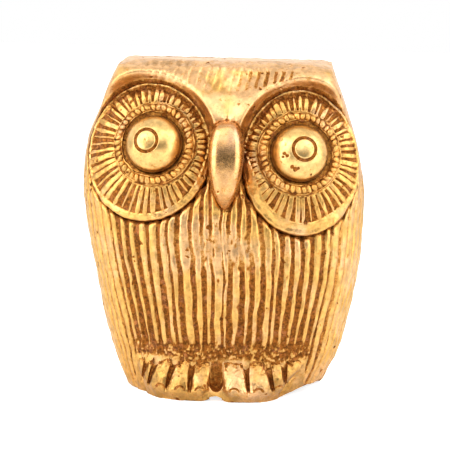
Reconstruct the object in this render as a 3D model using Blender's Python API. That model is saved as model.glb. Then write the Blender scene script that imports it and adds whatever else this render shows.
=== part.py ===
"""Cast brass owl figurine, built from separate castings.

A hollow body casting, open underneath, carries two dished facial discs, two corded eye rings,
two domed eyes with spigots, a beak with a spigot and two four-toed feet with pegs.
Metres, +Z up, the face looks along -Y, and the origin is on the ground under the middle of the owl.
"""

import math

import bmesh
import bpy
from mathutils import Matrix, Vector

MM = 0.001

# Driving dimensions
HEIGHT = 83.0 * MM
WALL = 3.5 * MM
FIT_GAP = 0.3 * MM

# The body outline from the ground up: height, half width, front depth, back depth,
# squareness of the section (2 is an ellipse) and sideways lean of the section's middle.
OUTLINE = [
    (0.0, 25.0, 19.2, 20.0, 2.5, 1.4),
    (8.0, 28.5, 21.0, 22.6, 2.4, 1.5),
    (18.0, 31.2, 22.4, 24.8, 2.35, 1.3),
    (30.0, 33.6, 23.2, 26.8, 2.35, 1.2),
    (42.0, 35.2, 22.9, 27.05, 2.45, 0.4),
    (52.0, 35.6, 22.1, 26.0, 2.7, 0.0),
    (62.0, 34.0, 20.9, 23.8, 3.0, -0.5),
    (72.0, 30.4, 18.8, 21.0, 3.8, -0.1),
    (83.0, 26.6, 13.0, 16.0, 6.0, 0.0),
]
EVEN_SPREAD = 0.85
TOP_SLOPE = 1.3 * MM

# Upright flutes chased all round the body, from above the toes to the head.
FLUTES = 80
FLUTE_DEPTH = 0.55 * MM
FLUTES_FROM = 11.0 * MM
FLUTES_TO = 72.0 * MM
FLUTE_FADE = 4.0 * MM

# The hollow left by the casting core. The wall is thicker behind the face, to carry the sockets.
CORE_TOP = 75.5 * MM
FACE_WALL = 8.5 * MM
HEAD_SIDE_WALL = 5.0 * MM
FACE_WALL_FROM = 40.0 * MM
FACE_WALL_FULL = 54.0 * MM

# Each eye stands on its own axis, turned outwards and upwards, and its parts follow the head's
# curve: across and up the face they sag behind a flat plane with these two radii.
# The rim of a facial disc is an oval, set outwards and down from the eye.
EYE_TURN = math.radians(10.0)
EYE_TILT = math.radians(15.0)
EYE_SAG_ACROSS = 26.0 * MM
EYE_SAG_UP = 60.0 * MM
EYE_Y = -19.5 * MM
EYES = {
    "left": {
        "side": -1,
        "x": -16.6 * MM,
        "z": 62.8 * MM,
        "half_across": 16.1 * MM,
        "half_up": 17.2 * MM,
        "shift_out": 2.1 * MM,
        "shift_down": 1.5 * MM,
    },
    "right": {
        "side": 1,
        "x": 19.2 * MM,
        "z": 61.5 * MM,
        "half_across": 14.8 * MM,
        "half_up": 18.0 * MM,
        "shift_out": 0.8 * MM,
        "shift_down": 1.8 * MM,
    },
}
NOMINAL_RIM = 16.0 * MM
RIM_FREE_FROM = 10.6 * MM
DISC_THICK = 2.2 * MM
DISC_RIM_ROUND = 0.5 * MM
MOAT_OUTER = 7.9 * MM
MOAT_DEPTH = 0.7 * MM
SEAT_OVERCUT = 9.0 * MM
SEAT_FLARE = 1.2 * MM

# Radii where a disc's flat faces are divided, so that they can follow the head's curve.
BEND_INNER = 7.0 * MM
BEND_OUTER = 12.0 * MM
BEND_FACE = 13.5 * MM
RIM_BAND = 1.0 * MM

RING_MIDDLE = 9.1 * MM
RING_HALF_WIDTH = 1.2 * MM
RING_HEIGHT = 1.3 * MM
RING_BEADS = 32

DOME_RADIUS = 7.0 * MM
DOME_HEIGHT = 4.9 * MM
PUPIL_RADIUS = 2.75 * MM
PUPIL_GROOVE = 0.45 * MM
SPIGOT_RADIUS = 2.5 * MM
SPIGOT_LENGTH = 4.6 * MM

BEAK_X = 1.3 * MM
BEAK_TIP_Z = 47.6 * MM
BEAK_TOP_Z = 68.9 * MM
BEAK_HALF_WIDTH = 4.3 * MM
BEAK_FULLNESS = 1.9
BEAK_STAND = 5.4 * MM
BEAK_SINK = 3.0 * MM
BEAK_BED = 0.4 * MM
BEAK_SPIGOT_RADIUS = 2.0 * MM
BEAK_SPIGOT_LENGTH = 4.4 * MM

FOOT_HEIGHT = 11.2 * MM
FOOT_SINK = 1.6 * MM
FOOT_STAND = 5.4 * MM
TOE_BACK_FALL = 0.85
TOE_TIP_TUCK = 0.22
TOE_GROOVE = 1.8 * MM
TOES = 4
FEET = {"left": (-20.2 * MM, -1.3 * MM), "right": (1.6 * MM, 21.7 * MM)}
PEG_RADIUS = 1.8 * MM
PEG_LENGTH = 5.0 * MM
PEG_Z = 5.5 * MM

PARTS = "owl_figurine"
CUTTERS = "cutters"


def clear_scene():
    for obj in list(bpy.data.objects):
        bpy.data.objects.remove(obj)


def new_collection(name):
    made = bpy.data.collections.new(name)
    bpy.context.scene.collection.children.link(made)


def brass(name, colour, roughness):
    made = bpy.data.materials.new(name)
    made.use_nodes = True
    shader = made.node_tree.nodes["Principled BSDF"]
    shader.inputs["Base Color"].default_value = (*colour, 1.0)
    shader.inputs["Metallic"].default_value = 1.0
    shader.inputs["Roughness"].default_value = roughness
    return made


def object_from(bm, name, collection, material=None):
    bmesh.ops.recalc_face_normals(bm, faces=bm.faces)
    mesh = bpy.data.meshes.new(name)
    bm.to_mesh(mesh)
    bm.free()
    mesh.shade_smooth()
    mesh.set_sharp_from_angle(angle=math.radians(40))
    if material:
        mesh.materials.append(material)
    made = bpy.data.objects.new(name, mesh)
    bpy.data.collections[collection].objects.link(made)
    return made


def part(bm, name, material):
    return object_from(bm, name, PARTS, material)


def cutter(bm, name):
    made = object_from(bm, name, CUTTERS)
    made.hide_render = True
    made.display_type = "WIRE"
    return made


def boolean(obj, other, operation="DIFFERENCE"):
    modifier = obj.modifiers.new(f"{operation.lower()}_{other.name}", "BOOLEAN")
    modifier.operation = operation
    modifier.object = other
    modifier.solver = "EXACT"


def outline_at(z):
    """Half width, front depth, back depth, squareness and lean at height z, on a smooth curve."""
    z = z / MM
    last = len(OUTLINE) - 2
    i = 0
    while i < last and z > OUTLINE[i + 1][0]:
        i += 1
    before = OUTLINE[max(i - 1, 0)]
    low, high = OUTLINE[i], OUTLINE[i + 1]
    after = OUTLINE[min(i + 2, last + 1)]
    span = high[0] - low[0]
    t = (z - low[0]) / span
    found = []
    for k in range(1, 6):
        slope_low = (high[k] - before[k]) / (high[0] - before[0]) * span
        slope_high = (after[k] - low[k]) / (after[0] - low[0]) * span
        value = (
            (2 * t**3 - 3 * t**2 + 1) * low[k]
            + (t**3 - 2 * t**2 + t) * slope_low
            + (3 * t**2 - 2 * t**3) * high[k]
            + (t**3 - t**2) * slope_high
        )
        found.append(value)
    width, front, back, square, lean = found
    return width * MM, front * MM, back * MM, square, lean * MM


def section_point(angle, width, front, back, square, lean, z):
    """The point of an oval section, squared off a little, at an angle from +X."""
    c, s = math.cos(angle), math.sin(angle)
    depth = back if s > 0 else front
    radius = (abs(c / width) ** square + abs(s / depth) ** square) ** (-1 / square)
    return Vector((lean + radius * c, radius * s, z))


def body_front(x, z):
    """The body surface's y on the front, at sideways place x and height z."""
    width, front, _, square, lean = outline_at(z)
    across = min(abs(x - lean) / width, 0.98)
    return -front * (1 - across**square) ** (1 / square)


def barrel(segments, rings, place):
    """A capped cylinder primitive with rings across it, each vertex moved by place(angle, share)."""
    bm = bmesh.new()
    bmesh.ops.create_cone(
        bm, cap_ends=True, segments=segments, radius1=1, radius2=1, depth=1
    )
    upright = [e for e in bm.edges if abs(e.verts[0].co.z - e.verts[1].co.z) > 0.5]
    bmesh.ops.subdivide_edges(bm, edges=upright, cuts=rings)
    for vertex in bm.verts:
        angle = math.atan2(vertex.co.y, vertex.co.x)
        vertex.co = place(angle, vertex.co.z + 0.5)
    return bm


def smoothstep(low, high, value):
    t = min(max((value - low) / (high - low), 0.0), 1.0)
    return t * t * (3 - 2 * t)


def evenly(angle):
    """Turns even steps round a circle into nearly even steps round the wide oval of the body."""
    return math.atan2(EVEN_SPREAD * math.sin(angle), math.cos(angle))


def body_place(angle, share):
    z = share * HEIGHT
    width, front, back, square, lean = outline_at(z)
    furrow = round(angle / math.pi * FLUTES) % 2
    rise = smoothstep(FLUTES_FROM, FLUTES_FROM + FLUTE_FADE, z)
    fall = smoothstep(FLUTES_TO, FLUTES_TO + FLUTE_FADE, z)
    depth = FLUTE_DEPTH * furrow * rise * (1 - fall)
    point = section_point(
        evenly(angle), width - depth, front - depth, back - depth, square, lean, z
    )
    near_top = smoothstep(FLUTES_TO, HEIGHT, z)
    point.z -= near_top * TOP_SLOPE * (back - point.y) / (back + front)
    return point


def core_place(angle, share):
    """The casting core: the body's section drawn in by the wall, and running out below the ground."""
    floor = -2 * MM
    z = floor + share * (CORE_TOP - floor)
    width, front, back, square, lean = outline_at(max(z, 0.0))
    head = smoothstep(FACE_WALL_FROM, FACE_WALL_FULL, z)
    side_wall = WALL + head * (HEAD_SIDE_WALL - WALL)
    face_wall = WALL + head * (FACE_WALL - WALL)
    return section_point(
        evenly(angle), width - side_wall, front - face_wall, back - WALL, square, lean, z
    )


def turned(profile, segments):
    """A profile of (radius, height) points spun round the local Z axis into a closed mesh."""
    bm = bmesh.new()
    verts = [bm.verts.new((r, 0, h)) for r, h in profile]
    edges = [bm.edges.new(pair) for pair in zip(verts, verts[1:], strict=False)]
    if profile[0][0] > 0 and profile[-1][0] > 0:
        edges.append(bm.edges.new((verts[-1], verts[0])))
    bmesh.ops.spin(
        bm,
        geom=verts + edges,
        axis=(0, 0, 1),
        cent=(0, 0, 0),
        angle=2 * math.pi,
        steps=segments,
        use_merge=True,
    )
    bmesh.ops.remove_doubles(bm, verts=bm.verts, dist=0.001 * MM)
    return bm


def rim_radius(eye, angle):
    """Distance from the eye's axis to the oval rim, in the direction angle."""
    c = math.cos(angle) / eye["half_across"]
    s = math.sin(angle) / eye["half_up"]
    across = eye["side"] * eye["shift_out"] / eye["half_across"]
    up = -eye["shift_down"] / eye["half_up"]
    a = c * c + s * s
    b = c * across + s * up
    return (b + math.sqrt(b * b - a * (across * across + up * up - 1))) / a


def fit_rim(bm, eye):
    """Stretches what lies outside the eye ring from the nominal round rim to the oval rim."""
    for vertex in bm.verts:
        r = math.hypot(vertex.co.x, vertex.co.y)
        if r <= RIM_FREE_FROM:
            continue
        rim = rim_radius(eye, math.atan2(vertex.co.y, vertex.co.x))
        if r < NOMINAL_RIM - RIM_BAND:
            share = (r - RIM_FREE_FROM) / (NOMINAL_RIM - RIM_BAND - RIM_FREE_FROM)
            moved = RIM_FREE_FROM + share * (rim - RIM_BAND - RIM_FREE_FROM)
        else:
            moved = rim + r - NOMINAL_RIM
        vertex.co.x *= moved / r
        vertex.co.y *= moved / r
    return bm


def sag(bm):
    """Bends an eye part to the head's curve."""
    for vertex in bm.verts:
        u, v, _ = vertex.co
        vertex.co.z -= u * u / (2 * EYE_SAG_ACROSS) + v * v / (2 * EYE_SAG_UP)
    return bm


def eye_matrix(eye):
    side = eye["side"]
    sin_turn, cos_turn = math.sin(EYE_TURN), math.cos(EYE_TURN)
    sin_tilt, cos_tilt = math.sin(EYE_TILT), math.cos(EYE_TILT)
    across = Vector((cos_turn, side * sin_turn, 0))
    up = Vector((-side * sin_turn * sin_tilt, cos_turn * sin_tilt, cos_tilt))
    out = Vector((side * sin_turn * cos_tilt, -cos_turn * cos_tilt, sin_tilt))
    turn = Matrix((across, up, out)).transposed().to_4x4()
    return Matrix.Translation((eye["x"], EYE_Y, eye["z"])) @ turn


def disc_profile():
    """A plate with a moat round its middle and a hole for the spigot. Its ring seat lies outside it."""
    hole = SPIGOT_RADIUS + FIT_GAP
    rim = NOMINAL_RIM
    top = [(hole, -MOAT_DEPTH), (MOAT_OUTER - MOAT_DEPTH, -MOAT_DEPTH), (MOAT_OUTER, 0)]
    seats = [(RIM_FREE_FROM, 0), (BEND_FACE, 0)]
    edge = [(rim - DISC_RIM_ROUND, 0), (rim, -DISC_RIM_ROUND), (rim, -DISC_THICK)]
    under = [(BEND_OUTER, -DISC_THICK), (BEND_INNER, -DISC_THICK), (hole, -DISC_THICK)]
    return top + seats + edge + under


def pocket_profile():
    """The seat cut into the head for a disc, and the socket under it for the eye's spigot."""
    floor = -DISC_THICK - FIT_GAP
    hole = SPIGOT_RADIUS + FIT_GAP
    wall = NOMINAL_RIM + FIT_GAP
    socket_end = -MOAT_DEPTH - SPIGOT_LENGTH - 2 * FIT_GAP
    socket = [(0, socket_end), (hole, socket_end), (hole, floor)]
    seat = [(BEND_INNER, floor), (BEND_OUTER, floor), (wall, floor)]
    mouth = [
        (wall + SEAT_FLARE, SEAT_OVERCUT),
        (BEND_OUTER, SEAT_OVERCUT),
        (0, SEAT_OVERCUT),
    ]
    return socket + seat + mouth


def ring_profile():
    """A D section standing on the disc, as a beaded cord would."""
    arc = 6
    points = []
    for i in range(arc + 1):
        angle = math.pi * i / arc
        r = RING_MIDDLE - RING_HALF_WIDTH * math.cos(angle)
        points.append((r, FIT_GAP + RING_HEIGHT * math.sin(angle)))
    return points


def bead(bm):
    """Swells the ring into beads, side by side round it."""
    for vertex in bm.verts:
        angle = math.atan2(vertex.co.y, vertex.co.x)
        share = 1 + 0.12 * math.cos(RING_BEADS * angle)
        height = vertex.co.z - FIT_GAP
        vertex.co.z = FIT_GAP + height * share
    return bm


def dome_profile():
    """A domed eye with a pupil ring turned into it, and its spigot."""
    base = -MOAT_DEPTH + FIT_GAP
    arc = 10
    points = [(0, base + DOME_HEIGHT)]
    pupil = math.asin(PUPIL_RADIUS / DOME_RADIUS)
    lip = PUPIL_GROOVE / DOME_RADIUS
    for angle, sink in ((pupil - lip, 0), (pupil, PUPIL_GROOVE), (pupil + lip, 0)):
        r = DOME_RADIUS * math.sin(angle)
        points.append((r, base + DOME_HEIGHT * math.cos(angle) - sink))
    for i in range(1, arc + 1):
        angle = pupil + lip + (math.pi / 2 - pupil - lip) * i / arc
        r = DOME_RADIUS * math.sin(angle)
        points.append((r, base + DOME_HEIGHT * math.cos(angle)))
    spigot = [
        (SPIGOT_RADIUS, base),
        (SPIGOT_RADIUS, base - SPIGOT_LENGTH),
        (0, base - SPIGOT_LENGTH),
    ]
    return points + spigot


def beak_place(direction, swell):
    """Moves a point of the unit sphere onto the beak: a drop, round above and pointed below."""
    share = min(max((direction.z + 1) / 2, 0.0), 1.0)
    z = BEAK_TIP_Z + share * (BEAK_TOP_Z - BEAK_TIP_Z) + swell * direction.z
    girth = BEAK_FULLNESS * share**0.62 * (1 - share) ** 0.36
    flat = math.hypot(direction.x, direction.y)
    if flat < 1e-6:
        return Vector((BEAK_X, body_front(BEAK_X, z) - BEAK_BED, z))
    x = direction.x / flat
    y = direction.y / flat
    stand = (BEAK_STAND if y < 0 else BEAK_SINK) * (0.35 + 0.65 * girth)
    skin = body_front(BEAK_X, z)
    return Vector(
        (
            BEAK_X + x * (BEAK_HALF_WIDTH * girth + swell),
            skin - BEAK_BED + y * (stand * min(girth * 1.6, 1.0) + swell),
            z,
        )
    )


def beak_form(swell=0.0):
    bm = bmesh.new()
    bmesh.ops.create_uvsphere(bm, u_segments=20, v_segments=16, radius=1)
    for vertex in bm.verts:
        vertex.co = beak_place(vertex.co.copy(), swell)
    return bm


def peg(radius, start, end):
    """A round peg from start to end along Y."""
    bm = bmesh.new()
    length = (end - start).length
    bmesh.ops.create_cone(
        bm, cap_ends=True, segments=20, radius1=radius, radius2=radius, depth=length
    )
    turn = Matrix.Rotation(math.radians(90), 4, "X")
    bmesh.ops.transform(
        bm, matrix=Matrix.Translation((start + end) / 2) @ turn, verts=bm.verts
    )
    return bm


def toe_stand(z):
    """How far a toe stands out of the body at height z: a sloping back and a rounded tip."""
    share = z / FOOT_HEIGHT
    slope = 1 - TOE_BACK_FALL * smoothstep(0.25, 1.05, share)
    tip = 1 - TOE_TIP_TUCK * (1 - smoothstep(0.0, 0.3, share))
    return FOOT_STAND * slope * tip


def foot_form(low_x, high_x, clearance=0.0):
    """A block bent round the foot of the body, with rounded toes parted by grooves on its front."""
    bm = bmesh.new()
    bmesh.ops.create_cube(bm, size=1)
    along = [e for e in bm.edges if abs(e.verts[0].co.x - e.verts[1].co.x) > 0.5]
    bmesh.ops.subdivide_edges(bm, edges=along, cuts=6 * TOES - 1, use_grid_fill=True)
    upright = [e for e in bm.edges if abs(e.verts[0].co.z - e.verts[1].co.z) > 0.5]
    bmesh.ops.subdivide_edges(bm, edges=upright, cuts=7, use_grid_fill=True)
    for vertex in bm.verts:
        across, depth, up = vertex.co + Vector((0.5, 0.5, 0.5))
        x = low_x - clearance + across * (high_x - low_x + 2 * clearance)
        z = up * (FOOT_HEIGHT + clearance)
        skin = body_front(x, z)
        if depth > 0.5:
            y = skin + FOOT_SINK + clearance
        elif clearance:
            y = skin - FOOT_STAND
            z = z - 1 * MM if up < 0.01 else z
        else:
            groove = abs(math.cos(math.pi * TOES * across)) ** 4
            edge = 1 - 0.35 * smoothstep(0.42, 0.5, abs(across - 0.5))
            shallow = 1 - 0.6 * smoothstep(0.0, 0.25, 0.25 - up)
            y = skin - toe_stand(z) * edge + TOE_GROOVE * groove * shallow
        if clearance and up < 0.01:
            z = -1 * MM
        vertex.co = (x, y, z)
    return bm


def build():
    body_metal = brass("fluted_brass", (0.78, 0.52, 0.22), 0.38)
    disc_metal = brass("disc_brass", (0.80, 0.56, 0.24), 0.36)
    ring_metal = brass("ring_brass", (0.72, 0.48, 0.20), 0.42)
    dome_metal = brass("polished_brass", (0.88, 0.68, 0.34), 0.22)
    beak_metal = brass("coppery_brass", (0.84, 0.58, 0.38), 0.24)
    foot_metal = brass("foot_brass", (0.84, 0.62, 0.28), 0.30)

    body = part(barrel(2 * FLUTES, 12, body_place), "body_casting", body_metal)
    core = cutter(barrel(40, 9, core_place), "core")
    boolean(body, core)

    beak_cutter = cutter(beak_form(FIT_GAP), "beak_seat")
    for name, eye in EYES.items():
        place = eye_matrix(eye)
        seat = sag(fit_rim(turned(pocket_profile(), 48), eye))
        pocket = cutter(seat, f"{name}_pocket")
        pocket.matrix_world = place
        boolean(body, pocket)
        plate = sag(fit_rim(turned(disc_profile(), 48), eye))
        disc = part(plate, f"{name}_facial_disc", disc_metal)
        disc.matrix_world = place
        boolean(disc, beak_cutter)
        cord = sag(bead(turned(ring_profile(), 2 * RING_BEADS)))
        ring = part(cord, f"{name}_eye_ring", ring_metal)
        ring.matrix_world = place
        dome = part(sag(turned(dome_profile(), 32)), f"{name}_eye_dome", dome_metal)
        dome.matrix_world = place

    boolean(body, beak_cutter)
    beak = part(beak_form(), "beak", beak_metal)
    root_z = BEAK_TIP_Z + 0.62 * (BEAK_TOP_Z - BEAK_TIP_Z)
    root = Vector((BEAK_X, body_front(BEAK_X, root_z), root_z))
    end = root + Vector((0, BEAK_SINK + BEAK_SPIGOT_LENGTH, 0))
    spigot = cutter(peg(BEAK_SPIGOT_RADIUS, root, end), "beak_spigot")
    boolean(beak, spigot, "UNION")
    socket_end = end + Vector((0, FIT_GAP, 0))
    socket = cutter(peg(BEAK_SPIGOT_RADIUS + FIT_GAP, root, socket_end), "beak_socket")
    boolean(body, socket)

    for name, (low_x, high_x) in FEET.items():
        rebate = cutter(foot_form(low_x, high_x, FIT_GAP), f"{name}_foot_rebate")
        boolean(body, rebate)
        foot = part(foot_form(low_x, high_x), f"{name}_foot", foot_metal)
        middle = (low_x + high_x) / 2
        start = Vector((middle, body_front(middle, PEG_Z), PEG_Z))
        finish = start + Vector((0, PEG_LENGTH, 0))
        stub = cutter(peg(PEG_RADIUS, start, finish), f"{name}_foot_peg")
        boolean(foot, stub, "UNION")
        through = cutter(
            peg(PEG_RADIUS + FIT_GAP, start, finish + Vector((0, 1 * MM, 0))),
            f"{name}_foot_hole",
        )
        boolean(body, through)


clear_scene()
new_collection(PARTS)
new_collection(CUTTERS)
build()
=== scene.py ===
"""Looks of the cast brass owl figurine: body, facial discs, corded rings, domed eyes, beak and feet."""

import math
from functools import partial

import bpy
import numpy as np
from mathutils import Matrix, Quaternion, Vector


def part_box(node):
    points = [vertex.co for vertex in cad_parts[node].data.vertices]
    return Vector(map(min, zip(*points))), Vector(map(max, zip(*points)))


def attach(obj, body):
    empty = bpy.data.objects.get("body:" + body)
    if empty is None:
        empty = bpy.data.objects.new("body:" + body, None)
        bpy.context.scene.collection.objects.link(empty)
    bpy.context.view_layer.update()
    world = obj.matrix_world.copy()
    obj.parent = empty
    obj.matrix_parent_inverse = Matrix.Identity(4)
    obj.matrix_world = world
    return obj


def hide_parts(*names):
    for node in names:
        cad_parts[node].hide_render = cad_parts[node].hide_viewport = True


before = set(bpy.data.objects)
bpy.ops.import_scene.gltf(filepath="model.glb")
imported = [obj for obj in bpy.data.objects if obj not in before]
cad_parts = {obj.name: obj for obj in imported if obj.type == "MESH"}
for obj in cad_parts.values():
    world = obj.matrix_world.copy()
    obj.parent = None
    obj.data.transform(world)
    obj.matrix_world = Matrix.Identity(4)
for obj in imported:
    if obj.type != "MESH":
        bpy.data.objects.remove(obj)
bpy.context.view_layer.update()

MM = 0.001

# -------------------- body casting
# One hollow brass casting, head and torso together, open underneath. The maker filed the top flat,
# cut a seat for each disc under a brow, and chased flutes all round and strokes on the forehead.

BODY_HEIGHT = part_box("body_casting")[1].z
# Height, half width, front depth, back depth, squareness, sideways lean of each section.
OUTLINE = np.array(
    [
        (0.0, 25.0, 19.2, 20.0, 2.5, 1.4),
        (8.0, 28.5, 21.0, 22.6, 2.4, 1.5),
        (18.0, 31.2, 22.4, 24.8, 2.35, 1.3),
        (30.0, 33.6, 23.2, 26.8, 2.35, 1.2),
        (42.0, 35.2, 22.9, 27.05, 2.45, 0.4),
        (52.0, 35.6, 22.1, 26.0, 2.7, 0.0),
        (62.0, 34.0, 20.9, 23.8, 3.0, -0.5),
        (72.0, 30.4, 18.8, 21.0, 3.8, -0.1),
        (83.0, 26.6, 13.0, 16.0, 9.0, 0.0),
    ]
)
EVEN_SPREAD = 0.85
TOP_SLOPE = 1.3 * MM
TOP_ROUND = 0.4 * MM
WALL = 3.5 * MM
HOLLOW_TOP = 75.5 * MM


def smooth(low, high, value):
    """0 below low and 1 above high, on a smooth step. Low may lie above high."""
    t = np.clip((value - low) / (high - low), 0.0, 1.0)
    return t * t * (3 - 2 * t)


def smooth_mm(low, high, value):
    return smooth(low * MM, high * MM, value)


def body_section(z):
    """Half width, front, back, squareness and lean at heights z, on smooth curves."""
    heights = OUTLINE[:, 0]
    z = np.clip(z / MM, 0.0, heights[-1])
    i = np.clip(np.searchsorted(heights, z, side="right") - 1, 0, len(heights) - 2)
    low, high = OUTLINE[i], OUTLINE[i + 1]
    before, after = OUTLINE[np.maximum(i - 1, 0)], OUTLINE[np.minimum(i + 2, len(heights) - 1)]
    span = (high - low)[:, :1]
    t = (z[:, None] - low[:, :1]) / span
    slope_low = (high - before) / (high - before)[:, :1] * span
    slope_high = (after - low) / (after - low)[:, :1] * span
    found = (
        (2 * t**3 - 3 * t**2 + 1) * low
        + (t**3 - 2 * t**2 + t) * slope_low
        + (3 * t**2 - 2 * t**3) * high
        + (t**3 - t**2) * slope_high
    )
    return [found[:, 1] * MM, found[:, 2] * MM, found[:, 3] * MM, found[:, 4], found[:, 5] * MM]


def body_skin(angle, height, insets=0.0):
    """Points round the body's skin at a height, drawn in by one inset or by side, front and back."""
    z = np.broadcast_to(height, len(angle))
    side_in, front_in, back_in = np.broadcast_to(insets, 3)
    width, front, back, square, lean = body_section(z)
    width, front, back = width - side_in, front - front_in, back - back_in
    c, s = np.cos(angle), np.sin(angle)
    depth = np.where(s > 0, back, front)
    radius = (np.abs(c / width) ** square + np.abs(s / depth) ** square) ** (-1 / square)
    points = np.stack([lean + radius * c, radius * s, z], axis=-1)
    near_top = smooth(72.0 * MM, BODY_HEIGHT, z)
    points[:, 2] -= near_top * TOP_SLOPE * (back - points[:, 1]) / (back + front)
    return points


def body_front(x, z):
    """How far forward the body's skin lies at x and height z."""
    x, z = np.broadcast_arrays(np.asarray(x, float), np.asarray(z, float))
    width, front, _, square, lean = body_section(z.ravel())
    across = np.minimum(np.abs(x.ravel() - lean) / width, 0.98)
    return (-front * (1 - across**square) ** (1 / square)).reshape(x.shape)


# Each eye stands on its own axis, turned outwards and upwards. Its seat, disc, ring and dome share
# that axis and follow the head's curve.
EYE_TURN = math.radians(10.0)
EYE_TILT = math.radians(15.0)
EYE_CURVE_ACROSS = 26.0 * MM
EYE_CURVE_UP = 60.0 * MM
EYE_FRONT = -19.5 * MM


def eye_place(side, *sizes):
    """One eye's axes, centre and oval rim, from its place and rim in millimetres."""
    x, z, half_across, half_up, shift_out, shift_down = np.array(sizes) * MM
    sin_turn, cos_turn = math.sin(EYE_TURN), math.cos(EYE_TURN)
    sin_tilt, cos_tilt = math.sin(EYE_TILT), math.cos(EYE_TILT)
    across = (cos_turn, side * sin_turn, 0.0)
    up = (-side * sin_turn * sin_tilt, cos_turn * sin_tilt, cos_tilt)
    out = (side * sin_turn * cos_tilt, -cos_turn * cos_tilt, sin_tilt)
    return {
        "side": side,
        "axes": np.array([across, up, out]),
        "centre": np.array([x, EYE_FRONT, z]),
        "half": (half_across, half_up),
        "shift": (side * shift_out, -shift_down),
    }


EYES = {
    "left": eye_place(-1, -16.6, 62.8, 16.1, 17.2, 2.1, 1.5),
    "right": eye_place(1, 19.2, 61.5, 14.8, 18.0, 0.8, 1.8),
}


def eye_sag(across, up):
    """How far the head's curve falls back from the eye's flat, across and up from its axis."""
    return across**2 / (2 * EYE_CURVE_ACROSS) + up**2 / (2 * EYE_CURVE_UP)


def rim_radius(eye, angle):
    """Distance from the eye's axis to its disc's oval rim."""
    c, s = np.cos(angle) / eye["half"][0], np.sin(angle) / eye["half"][1]
    across, up = eye["shift"][0] / eye["half"][0], eye["shift"][1] / eye["half"][1]
    a = c * c + s * s
    b = c * across + s * up
    return (b + np.sqrt(b * b - a * (across**2 + up**2 - 1))) / a


SEAT_DEPTH = 2.6 * MM
BROW_CREST = 2.2 * MM
BROW_RISE = 1.3 * MM


def shape_face(points):
    """Cuts the disc seats into the skin. Gives the points, a mask over each seat and the gap just outside
    its rim, used as painted shadow, and how high on the brow.
    """
    seat_shadow = np.zeros(len(points))
    brow = np.zeros(len(points))
    for eye in EYES.values():
        local = (points - eye["centre"]) @ eye["axes"].T
        across, up = local[:, 0], local[:, 1]
        stands = local[:, 2] + eye_sag(across, up)
        facing = smooth_mm(-14, -9, stands)
        beyond = np.hypot(across, up) - rim_radius(eye, np.arctan2(up, across))
        broad = np.where(beyond > BROW_CREST, 3.4 * MM, 1.7 * MM)
        crest = np.exp(-(((beyond - BROW_CREST) / broad) ** 2))
        brow = np.maximum(brow, crest * smooth_mm(-1, 7, up) * facing)
        kept = np.where(stands > 0, stands * (0.25 + 0.75 * smooth_mm(0, 2.2, beyond)), stands)
        under_rim = (1 - smooth_mm(0.15, 0.95, beyond)) * smooth_mm(2, -4, up)
        kept = kept - 0.75 * MM * under_rim
        sunk = np.minimum(kept, -SEAT_DEPTH)
        moved = sunk + (kept - sunk) * smooth_mm(-0.7, -0.15, beyond)
        local[:, 2] += (moved - stands) * facing
        # Painted shadow: this mask darkens the body over each seat and in the gap just outside the disc's
        # rim.
        seat_shadow = np.maximum(seat_shadow, (1 - smooth_mm(0.25, 1.0, beyond)) * facing)
        points = local @ eye["axes"] + eye["centre"]
    return points, seat_shadow, brow


BEAK_X = 1.3 * MM
BEAK_TIP_Z = 47.6 * MM
BEAK_TOP_Z = 68.9 * MM
BEAK_HALF_WIDTH = 4.3 * MM


def beak_girth(share):
    """The beak's girth from its tip, at 0, to its top, at 1."""
    return 1.9 * share**0.62 * (1 - share) ** 0.36


def from_beak(x, z):
    """Distance from the beak's outline on the face."""
    share = np.clip((z - BEAK_TIP_Z) / (BEAK_TOP_Z - BEAK_TIP_Z), 0.0, 1.0)
    half = BEAK_HALF_WIDTH * beak_girth(share)
    over = np.maximum(np.maximum(z - BEAK_TOP_Z, BEAK_TIP_Z - z), 0.0)
    return np.hypot(np.maximum(np.abs(x - BEAK_X) - half, 0.0), over)


CLEFT_X = 0.15 * MM
CLEFT_HALF = 1.45 * MM
CLEFT_FRONT = -23.15 * MM


def chipped_base(points):
    """How far the base is worn up on the owl's left flank."""
    worn_up = smooth_mm(13.5, 23, points[:, 0]) * smooth_mm(4, -3, points[:, 1])
    return 2.4 * MM * worn_up * smooth_mm(14, 0, points[:, 2])


def notched_sole(points):
    """How far the sole rises in the notch between the feet."""
    near = smooth_mm(3.6, 0, np.abs(points[:, 0] - CLEFT_X)) * smooth_mm(-10, -14, points[:, 1])
    return 0.95 * MM * near * smooth_mm(4.5, 0, points[:, 2])


def bridge_cleft(skin, facing):
    """Carries the sole across the cleft between the feet, and gives how brown the cleft is."""
    x, z = skin[:, 0], skin[:, 2]
    off_middle = np.abs(x - CLEFT_X) / CLEFT_HALF
    bridge_top = 2.3 * MM + 1.7 * MM * off_middle**2
    bridge = smooth(1.9, 1.5, off_middle) * smooth_mm(0.9, -0.5, z - bridge_top) * (facing > 0.5)
    skin[:, 1] += bridge * np.minimum(CLEFT_FRONT - skin[:, 1], 0.0)
    skin[:, 2] += notched_sole(skin)
    cleft = smooth(1.25, 0.85, off_middle) * smooth_mm(-0.2, 0.9, z - bridge_top) * (facing > 0.5)
    return cleft * 0.85 * smooth_mm(10.8, 9.2, z)


def body_grid():
    """Angles round the casting and heights up it, close together where the work is fine."""
    front = np.linspace(-math.pi, 0.0, 400, endpoint=False)
    back = np.linspace(0.0, math.pi, 220, endpoint=False)
    turn = np.concatenate([front, back])
    angle = np.arctan2(EVEN_SPREAD * np.sin(turn), np.cos(turn))
    runs = [(0.4, 4.6, 14), (4.6, 9.0, 5), (9.0, 15.0, 14), (15.0, 43.0, 26), (43.0, 82.3, 76)]
    heights = np.concatenate([np.linspace(a, b, n, endpoint=False) for a, b, n in runs]) * MM
    return angle, heights


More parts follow.
